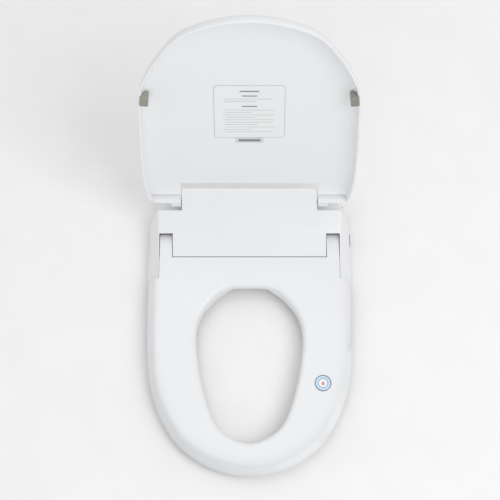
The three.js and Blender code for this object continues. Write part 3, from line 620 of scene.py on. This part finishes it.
def rounded_sheet(name, x0, x1, y0, y1, z0, z1, radius, taper=1.0):
    """A thin sheet with rounded corners; taper narrows its low-y end."""
    piece = block(name, (x0, y0, z0), (x1, y1, z1))
    activate(piece)
    bpy.ops.object.mode_set(mode="EDIT")
    middle = (z0 + z1) / 2 * MM
    mesh = bmesh.from_edit_mesh(piece.data)
    bpy.ops.mesh.select_all(action="DESELECT")
    for edge in mesh.edges:
        ends = [vertex.co.z for vertex in edge.verts]
        edge.select_set(min(ends) < middle < max(ends))
    bmesh.update_edit_mesh(piece.data)
    bpy.ops.mesh.bevel(offset=radius * MM, segments=8)
    bpy.ops.object.mode_set(mode="OBJECT")
    for vertex in piece.data.vertices:
        share = (vertex.co.y - y0 * MM) / ((y1 - y0) * MM)
        vertex.co.x *= taper + (1 - taper) * share
    return piece


def printed_bars(name, bars, z0, z1):
    """Plain printed bars standing for headings and lines of text."""
    group = None
    for x0, x1, y, tall in bars:
        bar = block("bar", (x0, y - tall / 2, z0), (x1, y + tall / 2, z1))
        group = bar if group is None else join_on(group, bar)
    group.name = name
    return group


def lid_labels():
    """The large information label with its border and bars of text, and the small serial strip."""
    face, back = PANEL_MM - 0.42, PANEL_MM - 0.1
    ink = (face - 0.06, face - 0.01)
    sheet = rounded_sheet("lid_label_sheet", -62, 62, -323.5, -182.5, face, back, 7, 0.985)
    border = rounded_sheet("lid_label_border", -61.5, 61.5, -323, -183, *ink, 6.6, 0.985)
    cut(border, rounded_sheet("inner", -60.8, 60.8, -322.3, -183.7, face - 0.5, face + 0.5, 6.1, 0.985))
    headings = [(-16.5, 16.5, -308, 3.0), (-13, 13, -296, 2.6), (-13, 13, -268.5, 2.6)]
    lines = [(-45, 40, -288, 0.8), (-42, 11, -282, 0.8)]
    for k, reach in enumerate((44, 3, 41, 12, 43, 38, 14, 44, 4, 40)):
        lines.append((-46 + 4 * (k % 2), reach, -259 + 6.6 * k, 0.8))
    heading_bars = printed_bars("lid_label_headings", headings, *ink)
    line_bars = printed_bars("lid_label_lines", lines, *ink)
    strip = rounded_sheet("serial_label_sheet", -24.5, 24.5, -182, -168.5, face, back, 0.8)
    code = printed_bars("serial_label_code", [(-19.2, 19.2, -175.3, 6.2)], *ink)
    prints = [(sheet, LABEL_STOCK, "lid_label"), (border, LABEL_INK), (heading_bars, DARK_INK),
              (line_bars, LABEL_INK), (strip, STRIP_STOCK, "serial_label"), (code, DARK_INK)]
    for piece, material, *node in prints:
        finish_piece(to_open_lid(piece), "lid", "paper_label", material, *node)


def cover_height(y):
    """Height of the housing's top, rising in a gentle curve towards the rear."""
    run = max(y + 64, 0)
    return SEAT_TOP_MM + 0.2 * run + 0.00226 * run * run


def lid_shell():
    """The dish with its notch, ears and knuckles, cleared for the housing that it swings past."""
    shell = lid_dish()
    cut(shell, block("notch", (-NOTCH_HALF_MM, -NOTCH_END_MM, -40), (NOTCH_HALF_MM, 30, 40)))
    axis = LID_AXIS / MM
    trim = [(y - axis.y, cover_height(y) + 1.8 - axis.z - math.tan(LID_TILT) * (y - axis.y))
            for y in [*range(-75, 17, 6), 18.2]]
    end = trim[-1][0]
    under_ears = trim + [(end, -40), (-75 - axis.y, -40)]
    cut(shell, side_profile("sweep", under_ears, -EAR_HALF_MM, EAR_HALF_MM))
    relief = block("end relief", (-EAR_HALF_MM, -24, -20), (EAR_HALF_MM, -5, -4))
    swing = rod("swing", (-EAR_HALF_MM - 1, 0, 0), (EAR_HALF_MM + 1, 0, 0), EAR_SWING_MM, 96)
    cut(shell, cut(relief, swing))
    for side in (-1, 1):
        low, high = beside(side, 127.8, 146)
        join_on(shell, rod("knuckle", (low, 0, 0), (high, 0, 0), 10))
        join_on(shell, block("web", (low, -16, 0.5), (high, 0, 12.5)))
        low, high = beside(side, 127, 144)
        cut(shell, rod("pin bore", (low, 0, 0), (high, 0, 0), LID_BORE_R_MM))
        cut(shell, bumper_block(side, GAP_MM))
    to_open_lid(shell)
    smooth(shell)
    return finish_piece(shell, "lid", "gloss_white", GLOSS_WHITE, "lid_shell")


# ---------------------------------------------------------------- housing
def base_half(y):
    """Half-width of the housing's foot: a soft swelling at the wings' front end and a narrower rear."""
    swelling = 1.6 * math.exp(-(((y + 80) / 22) ** 2))
    share = min(max((y - 5) / 45, 0), 1)
    return 190 + swelling - 13 * share * share * (3 - 2 * share)


def section(y, top, half, top_half, wall):
    """Half cross-section of the housing at y: a rolled foot, a bowed side and a rounded shoulder."""
    low, high, side, edge = 4.3 + wall, top - wall, half - wall, top_half - wall
    points = [(side - 2.4, low), (side - 0.7, low + 0.9), (side, low + 3), (side, 20)]
    for k in range(1, 9):
        t = k / 8
        points.append((side - (side - edge - 3.2) * (0.35 * t + 0.65 * t * t), 20 + (high - 24 - 0.4) * t))
    points += [(edge + 2.3, high - 2.4), (edge + 0.6, high - 1), (edge - 1.6, high - 0.2), (edge - 4, high)]
    return points


def skin(name, stations, shape):
    """A closed solid through the housing's cross-sections at the given y stations."""
    rings = []
    for y in stations:
        right = shape(y)
        ring = right + [(-x, z) for x, z in reversed(right)]
        rings.append([(x * MM, y * MM, z * MM) for x, z in ring])
    count = len(rings[0])
    faces = [range(count), range(count * (len(rings) - 1), count * len(rings))]
    for k in range(len(rings) - 1):
        for i in range(count):
            a, b = k * count + i, k * count + (i + 1) % count
            faces.append((a, b, b + count, a + count))
    mesh = bpy.data.meshes.new(name)
    mesh.from_pydata([p for ring in rings for p in ring], [], faces)
    piece = bpy.data.objects.new(name, mesh)
    bpy.context.scene.collection.objects.link(piece)
    return face_out(piece)


def spread(start, end, count):
    """Evenly spaced values from start to end."""
    return [start + (end - start) * k / (count - 1) for k in range(count)]


def envelope(wall):
    """The housing's outer form, or the room inside it when a wall thickness is given."""
    body = skin("envelope", spread(-105 + wall, SHOULDER_Y_MM - wall, 40),
                lambda y: section(y, cover_height(y), base_half(y), 170, wall))
    deck = skin("deck", spread(SHOULDER_Y_MM - wall - 1, REAR_Y_MM - wall, 14),
                lambda y: section(y, DECK_Z_MM, base_half(y), base_half(y) - 9, wall))
    rise = [(y, cover_height(y) - wall) for y in spread(-12, 50, 20)]
    rear = cover_height(REAR_Y_MM) - wall
    crest = [(52, rear - 1.4), (REAR_Y_MM - wall - 0.6, rear - 2.6), (REAR_Y_MM - wall, rear - 5)]
    if wall:
        crest = [(REAR_Y_MM - wall, rear - 4)]
    back = side_profile("back", rise + crest + [(REAR_Y_MM - wall, 40), (-12, 40)],
                        -BACK_HALF_MM + wall, BACK_HALF_MM - wall)
    join_on(body, deck)
    return join_on(body, back)


def clear_seat_space(piece, grow_by):
    """Cuts the room of the seat's rear between the wings, and the pockets its hinge lugs turn in."""
    pin = SEAT_AXIS / MM
    reach, half = LUG_POCKET_R_MM + grow_by, 169 + grow_by
    cut(piece, block("seat space", (-half, -125, -10), (half, FRONT_Y_MM + grow_by, 130)))
    for side in (-1, 1):
        low, high = beside(side, 143.4 - grow_by, half)
        pocket = pin_rod(SEAT_AXIS, side, 143.4 - grow_by, half, reach, 64)
        join_on(pocket, block("slot", (low, FRONT_Y_MM - 1, pin.z - reach), (high, pin.y, 130)))
        cut(piece, pocket)
    return piece


def housing():
    """The cover and the tray, cut from one hollow body at the joint line."""
    shell = clear_seat_space(envelope(0), 0)
    cut(shell, clear_seat_space(envelope(WALL_MM), WALL_MM))
    cut(shell, block("nozzle window", (-31, FRONT_Y_MM - 1, 11), (31, FRONT_Y_MM + 4, 42)))
    cut(shell, block("air window", (44, FRONT_Y_MM - 1, 8.5), (80, FRONT_Y_MM + 4, 29.5)))
    for side in (-1, 1):
        cut(shell, pin_rod(SEAT_AXIS, side, 136, 148, SEAT_BORE_R_MM))
        cut(shell, pin_rod(LID_AXIS, side, 118, 130, LID_BORE_R_MM))
    activate(shell)
    bpy.ops.object.duplicate()
    tray = named("base_tray_fine")
    shell.name = "housing_cover_fine"
    cut(shell, block("below", (-210, -125, -5), (210, 80, SPLIT_Z_MM)))
    cut(tray, block("above", (-210, -125, SPLIT_Z_MM - GAP_MM), (210, 80, 140)))
    return shell, tray


def tray_underside(tray):
    """A raised channel over the mounting plate, rails that hook under its ledges, and the screw posts."""
    join_on(tray, block("channel roof", (-111.6, -34, 4.4), (111.6, REAR_Y_MM - 0.3, 12.2)))
    cut(tray, block("channel", (-108.8, -31, 0), (108.8, 60, 9.4)))
    for side in (-1, 1):
        for inner, outer, top in ((108.8, 111.6, 5.3), (100.8, 109.8, 4.5)):
            low, high = beside(side, inner, outer)
            join_on(tray, block("rail", (low, -34, 1.2), (high, REAR_Y_MM, top)))
        for half_x, y in SCREW_SPOTS_MM:
            x = side * half_x
            join_on(tray, rod("post", (x, y, 5.3), (x, y, SPLIT_Z_MM - GAP_MM), 4.5))
            cut(tray, rod("screw way", (x, y, 3), (x, y, 35), 1.9, 32))
            cut(tray, rod("screw head way", (x, y, 0), (x, y, 10), 3.3, 32))


def housing_cover_and_tray():
    """Finishes the two halves, with the side and rear openings of the tray."""
    cover, tray = housing()
    tray_underside(tray)
    cut(tray, rod("inlet hole", (-150, 48, 27), (-150, 56, 27), 11))
    cut(tray, rod("gland hole", (140, 48, 27), (140, 56, 27), 7))
    cut(tray, block("cartridge way", (145, 25.5, 11.5), (200, 46.5, 31.5)))
    cut(tray, block("button way", (180, -30.4, 10.6), (200, -7.6, 19.4)))
    for piece, node in ((cover, "housing_cover"), (tray, "base_tray")):
        smooth(piece)
        finish_piece(piece, "base", "gloss_white", GLOSS_WHITE, node)


# ---------------------------------------------------------------- badge on the seat
BADGE_X_MM, BADGE_Y_MM = 133, -306
DROP_R_MM = 2.9


def disc(name, radius, low, high):
    """A flat round layer of the badge."""
    return rod(name, (BADGE_X_MM, BADGE_Y_MM, low), (BADGE_X_MM, BADGE_Y_MM, high), radius, 96)


def seat_badge():
    """A round badge: blue and white rings round a plain water drop."""
    base = soften(disc("badge_base", 15, 50.3, 50.62), 0.12, 2)
    finish_piece(smooth(base), "seat", "badge_blue", BADGE_DARK, "seat_sticker")
    rings = [("badge_white_ring", 12.9, BADGE_PALE), ("badge_light_ring", 11.6, BADGE_LIGHT),
             ("badge_fine_ring", 8.5, BADGE_DARK), ("badge_centre", 7.7, BADGE_PALE)]
    for k, (name, radius, material) in enumerate(rings):
        low = 50.63 + 0.05 * k
        finish_piece(disc(name, radius, low, low + 0.04), "seat", "badge_blue", material)
    foot = BADGE_Y_MM - 1.3
    drop = rod("badge_drop", (BADGE_X_MM, foot, 50.83), (BADGE_X_MM, foot, 50.87), DROP_R_MM, 48)
    for vertex in drop.data.vertices:
        rise = max(vertex.co.y - foot * MM, 0) / (DROP_R_MM * MM)
        vertex.co.y += DROP_R_MM * MM * 0.9 * rise ** 2
        vertex.co.x = BADGE_X_MM * MM + (vertex.co.x - BADGE_X_MM * MM) * (1 - 0.75 * rise ** 2)
    finish_piece(drop, "seat", "badge_blue", BADGE_DROP)


# ---------------------------------------------------------------- feet, pads and bowl fixings
def seat_feet():
    """Four rubber feet under the seat, each with a shallow dimple."""
    for number, (x, y) in enumerate([(-148, -190), (148, -190), (-105, -392), (105, -392)], 1):
        foot = rod(f"seat_foot_{number}_fine", (x, y, 0), (x, y, 16.2), 9, 64, 11)
        soften(foot, 1.4, 4)
        cut(foot, soften(rod("dimple", (x, y, -4), (x, y, 1.2), 5.6, 48), 0.4, 2))
        finish_piece(smooth(foot), "seat", "rubber_grey", ELASTOMER, f"seat_foot_{number}")


def base_pads():
    """Two rubber pads under the base, with grooves across them."""
    for word in ("left", "right"):
        low, high = node_corners(f"base_pad_{word}")
        pad = soften(block(f"base_pad_{word}_fine", low, high), 1.0, 3)
        for k in range(5):
            x = low.x + 4.8 + 5.6 * k
            cut(pad, soften(block("groove", (x - 0.7, 20, -1), (x + 0.7, 36, 0.8)), 0.2, 1))
        finish_piece(smooth(pad), "base", "rubber_grey", ELASTOMER, f"base_pad_{word}")


def thread(name, x, y, z0, z1, radius, pitch):
    """Raised turns round a shank, one ridge to each pitch."""
    turns = []
    for k in range(int((z1 - z0) / pitch)):
        low, root = z0 + k * pitch, radius - pitch * 0.35
        turns.append(rod(name, (x, y, low), (x, y, low + pitch / 2), root, 48, radius))
        turns.append(rod(name, (x, y, low + pitch / 2), (x, y, low + pitch), radius, 48, root))
    activate(turns[0])
    for turn in turns[1:]:
        turn.select_set(True)
    bpy.ops.object.join()
    return face_out(turns[0])


BOLT_X_MM = 70


def mounting_bolt(word, x):
    """A slotted round head, a plain shank and a threaded end."""
    bolt = soften(rod(f"mounting_bolt_{word}_fine", (x, 0, 4.35), (x, 0, 7.4), 8.5, 64), 0.5, 3)
    cut(bolt, block("slot", (x - 10, -0.9, 6.2), (x + 10, 0.9, 9)))
    join_on(bolt, rod("shank", (x, 0, -31), (x, 0, 5), 3, 48))
    turns = thread("thread", x, 0, -59, -31, 3, 1.0)
    activate(bolt)
    turns.select_set(True)
    bpy.ops.object.join()
    finish_piece(smooth(bolt), "mounting", "steel", STEEL, f"mounting_bolt_{word}")


def cone_bush(word, x):
    """A rubber cone that centres the bolt in the bowl's hole, stepped so that it grips."""
    bush = rod(f"cone_bush_{word}_fine", (x, 0, -34), (x, 0, -16), 13, 64, 8)
    cut(soften(bush, 0.8, 3), rod("bore", (x, 0, -40), (x, 0, 0), 3.4, 48))
    for k in range(3):
        z = -31 + 4.4 * k
        outer = rod("ring", (x, 0, z), (x, 0, z + 1), 16, 64)
        core_r = 12 - 5 * (z + 34) / 18
        cut(outer, rod("ring core", (x, 0, z - 1), (x, 0, z + 2), core_r, 64))
        cut(bush, outer)
    finish_piece(smooth(bush), "mounting", "rubber_grey", ELASTOMER, f"cone_bush_{word}")


def wing_nut(word, x):
    """A round nut with two wings, turned by hand under the bowl."""
    nut = soften(rod(f"wing_nut_{word}_fine", (x, 0, -46), (x, 0, -34.4), 9, 64), 0.8, 3)
    for way in (-1, 1):
        low, high = sorted((x + way * 5, x + way * 19))
        join_on(nut, soften(block("wing", (low, -2, -50), (high, 2, -37)), 1.6, 4))
    cut(nut, rod("bore", (x, 0, -60), (x, 0, 0), 3.4, 48))
    finish_piece(smooth(nut), "mounting", "gloss_white", GLOSS_WHITE, f"wing_nut_{word}")


def mounting_plate():
    """The plate on the bowl: ledges along its sides, and a toothed well with a slot for each bolt."""
    plate = soften(block("mounting_plate_fine", (-100, -30, 0), (100, 30, 8)), 0.6, 2)
    join_on(plate, soften(block("ledge", (-108, -30, 5), (108, 30, 8)), 0.6, 2))
    for x in (-BOLT_X_MM, BOLT_X_MM):
        cut(plate, soften(block("well", (x - 16, -21, 4), (x + 16, 21, 12)), 0.8, 2))
        cut(plate, block("slot", (x - 4, -14, -1), (x + 4, 14, 5)))
        for k in range(12):
            y = -20.5 + 3.5 * k
            cut(plate, block("tooth", (x - 15.5, y, 3.6), (x - 5.5, y + 1.2, 4.4)))
            cut(plate, block("tooth", (x + 5.5, y, 3.6), (x + 15.5, y + 1.2, 4.4)))
    cut(plate, soften(block("pocket", (-22, -18, 3), (22, 18, 12)), 0.8, 2))
    finish_piece(smooth(plate), "mounting", "grey_plastic", GREY_ACETAL, "mounting_plate")


def bowl_fixings():
    """Everything that holds the seat to the bowl."""
    for side, word in ((-1, "left"), (1, "right")):
        x = side * BOLT_X_MM
        mounting_bolt(word, x)
        cone_bush(word, x)
        wing_nut(word, x)
    mounting_plate()


# ---------------------------------------------------------------- water inlet, cord gland and nozzles
def turned_onto_y(piece, x, y, z):
    """Lays a piece made upright at the origin along +Y, from the point given in millimetres."""
    piece.matrix_world = Matrix.Translation(Vector((x, y, z)) * MM) @ Matrix.Rotation(-math.pi / 2, 4, "X")
    return settle(piece)


def inlet_fitting():
    """A brass fitting: a hexagon, a neck and a threaded end with a bore."""
    fitting = soften(rod("inlet_fitting_fine", (0, 0, 0), (0, 0, 10.4), 13, 6), 0.8, 2)
    join_on(fitting, rod("neck", (0, 0, 9), (0, 0, 15), 9.4, 64))
    join_on(fitting, rod("end", (0, 0, 29), (0, 0, 30.6), 9.4, 64, 9.0))
    join_on(fitting, rod("core", (0, 0, 13), (0, 0, 30.4), 9.3, 64))
    spiral = thread("thread", 0, 0, 15, 29.4, 10.4, 1.8)
    activate(fitting)
    spiral.select_set(True)
    bpy.ops.object.join()
    cut(face_out(fitting), rod("bore", (0, 0, 3), (0, 0, 40), 7, 64))
    turned_onto_y(fitting, -150, 40.4, 27)
    finish_piece(smooth(fitting), "base", "brass", BRASS, "inlet_fitting")


def cord_gland():
    """The gland that the power cord leaves through, with grip notches round its collar."""
    gland = rod("cord_gland_fine", (0, 0, 0), (0, 0, 8.5), 6.6, 64)
    join_on(gland, soften(rod("collar", (0, 0, 6.4), (0, 0, 9), 9, 64), 0.7, 3))
    cut(gland, rod("bore", (0, 0, -1), (0, 0, 12), 3.6, 48))
    for k in range(12):
        turn = k * math.pi / 6
        x, y = 9.2 * math.cos(turn), 9.2 * math.sin(turn)
        cut(gland, rod("grip", (x, y, 6.8), (x, y, 12), 0.9, 20))
    turned_onto_y(gland, 140, 48, 27)
    finish_piece(smooth(gland), "base", "dark_plastic", DARK_NYLON, "cord_gland")


RACK_MM = 8.4
TOOTH_MM = math.pi
TEETH = 32
NOZZLE_TILT = math.radians(10)


def washing_nozzle(word, x, holes):
    """A round arm with a flat spray face near its tip, a rack along its top and a hose tail."""
    tip = soften(rod(f"{word}_wash_nozzle_fine", (x, 0, 0), (x, 108, 0), 6, 64), 1.1, 4)
    y0 = 18.85 - 4.5 * TOOTH_MM
    root, crest = RACK_MM - 1.15, RACK_MM + 0.9
    profile = [(y0 - 1.4, 3), (y0 - 1.4, root)]
    for k in range(TEETH):
        y = y0 + k * TOOTH_MM
        profile += [(y - 0.95, root), (y - 0.35, crest), (y + 0.35, crest), (y + 0.95, root)]
    end = y0 + (TEETH - 1) * TOOTH_MM + 1.4
    profile += [(end, root), (end, 3)]
    join_on(tip, side_profile("rack", profile, x - 2, x + 2))
    join_on(tip, soften(rod("tail", (x, 107, 0), (x, 116, 0), 3, 48), 0.5, 2))
    cut(tip, block("flat", (x - 7, -2, 5), (x + 7, 10.5, 12)))
    for k in range(holes):
        hx = x + (k - (holes - 1) / 2) * 2.6
        cut(tip, rod("spray hole", (hx, 5, 2), (hx, 5, 8), 0.8, 24))
    tip.matrix_world = Matrix.Translation(Vector((0, -64.5, 22)) * MM) @ Matrix.Rotation(NOZZLE_TILT, 4, "X")
    settle(tip)
    finish_piece(smooth(tip), f"{word}_nozzle", "clear_grey", NOZZLE_PLASTIC, f"{word}_wash_nozzle")


def nozzle_shield():
    """The plate that the two nozzles pass through, with a notch for each rack."""
    shield = soften(block("nozzle_shield_fine", (-30.6, -62.8, 11.4), (30.6, -60, 41.7)), 0.5, 3)
    for x in (-NOZZLE_X_MM, NOZZLE_X_MM):
        cut(shield, rod("nozzle hole", (x, -66, 22.2), (x, -56, 22.2), 7.4, 64))
        cut(shield, block("rack hole", (x - 3, -66, 26), (x + 3, -56, 33.5)))
    finish_piece(smooth(shield), "base", "gloss_white", GLOSS_WHITE, "nozzle_shield")


def dryer_flap():
    """The ribbed flap over the dryer's outlet, with its pin along the top edge."""
    flap = soften(block("dryer_flap_fine", (44.6, -62.2, 9.1), (79.4, -60.6, 27.5)), 0.5, 3)
    join_on(flap, rod("flap pin", (44.6, -61.4, 27.5), (79.4, -61.4, 27.5), 1.2, 32))
    for k in range(3):
        z = 12.4 + 4.2 * k
        join_on(flap, soften(block("flap rib", (48, -62.55, z), (76, -62, z + 0.8)), 0.15, 1))
    finish_piece(smooth(flap), "flap", "gloss_white", GLOSS_WHITE, "dryer_flap")


def deodorizer_cartridge():
    """A hollow cartridge with a grille of slots in its outer end."""
    low, high = node_corners("deodorizer_cartridge")
    body = soften(block("deodorizer_cartridge_fine", low, high), 0.7, 3)
    cut(body, block("air", (low.x - 1, low.y + 2, low.z + 2), (high.x - 4, high.y - 2, high.z - 2)))
    for k in range(5):
        z = low.z + 4.2 + 2.6 * k
        slot = block("slot", (high.x - 5, low.y + 3.5, z - 0.6), (high.x + 1, high.y - 3.5, z + 0.6))
        cut(body, slot)
    finish_piece(smooth(body), "deodorizer", "grey_plastic", GREY_ACETAL, "deodorizer_cartridge")


def release_button():
    """A push button with grip grooves, on a stem that reaches in to the latch."""
    low, high = node_corners("release_button")
    button = soften(block("release_button_fine", (high.x - 9, low.y, low.z), high), 1.0, 4)
    for k in range(5):
        y = low.y + 5 + 3 * k
        groove = block("groove", (high.x - 0.5, y - 0.5, low.z + 1.4), (high.x + 1, y + 0.5, high.z - 1.4))
        cut(button, soften(groove, 0.2, 1))
    stem = block("stem", (low.x, low.y + 6, low.z + 1), (high.x - 8, high.y - 6, high.z - 1))
    join_on(button, soften(stem, 0.4, 2))
    finish_piece(smooth(button), "button", "grey_plastic", GREY_ACETAL, "release_button")


# ---------------------------------------------------------------- stage
def studio():
    """A pale card floor, even white surroundings and three soft lamps."""
    deselect()
    bpy.ops.mesh.primitive_plane_add(size=8, location=(0, 0, -0.0005))
    floor = named("floor")
    # Matt card: a pale even white that carries soft shadows.
    floor.data.materials.append(moulded("matt white card", "#F4F4F4", "#F2F2F2", 0.9, 4.0, 0.01))
    world = bpy.data.worlds.new("studio")
    bpy.context.scene.world = world
    world.use_nodes = True
    world.node_tree.nodes["Background"].inputs["Color"].default_value = (1, 1, 1, 1)
    world.node_tree.nodes["Background"].inputs["Strength"].default_value = 0.68
    bpy.context.scene.view_settings.view_transform = "Standard"
    lamps = [("key", (1.4, -0.9, 2.6), 1.6, 24), ("front", (-0.6, -2.9, 1.3), 2.2, 12),
             ("top", (-0.4, 0.9, 3.0), 1.6, 10)]
    aim = Vector((0, -0.15, 0.1))
    for name, place, size, power in lamps:
        lamp = bpy.data.lights.new(name, "AREA")
        lamp.size = size
        lamp.energy = power
        holder = bpy.data.objects.new(name, lamp)
        holder.location = place
        holder.rotation_euler = (aim - Vector(place)).to_track_quat("-Z", "Y").to_euler()
        bpy.context.scene.collection.objects.link(holder)


def camera():
    """A long lens looking steeply down on the open lid and the seat."""
    lens = bpy.data.cameras.new("camera")
    lens.lens = 96.12
    lens.sensor_width = 36
    lens.clip_end = 20
    holder = bpy.data.objects.new("camera", lens)
    holder.location = (0.00094, -0.905, 2.399)
    holder.rotation_euler = (math.radians(20), 0, 0)
    bpy.context.scene.collection.objects.link(holder)
    bpy.context.scene.camera = holder


camera()
studio()
finish_cad_nodes()
seat_top()
lid_shell()
housing_cover_and_tray()
lid_bumpers()
lid_labels()
seat_badge()
seat_feet()
base_pads()
bowl_fixings()
inlet_fitting()
cord_gland()
washing_nozzle("rear", -NOZZLE_X_MM, 2)
washing_nozzle("front", NOZZLE_X_MM, 3)
nozzle_shield()
dryer_flap()
deodorizer_cartridge()
release_button()
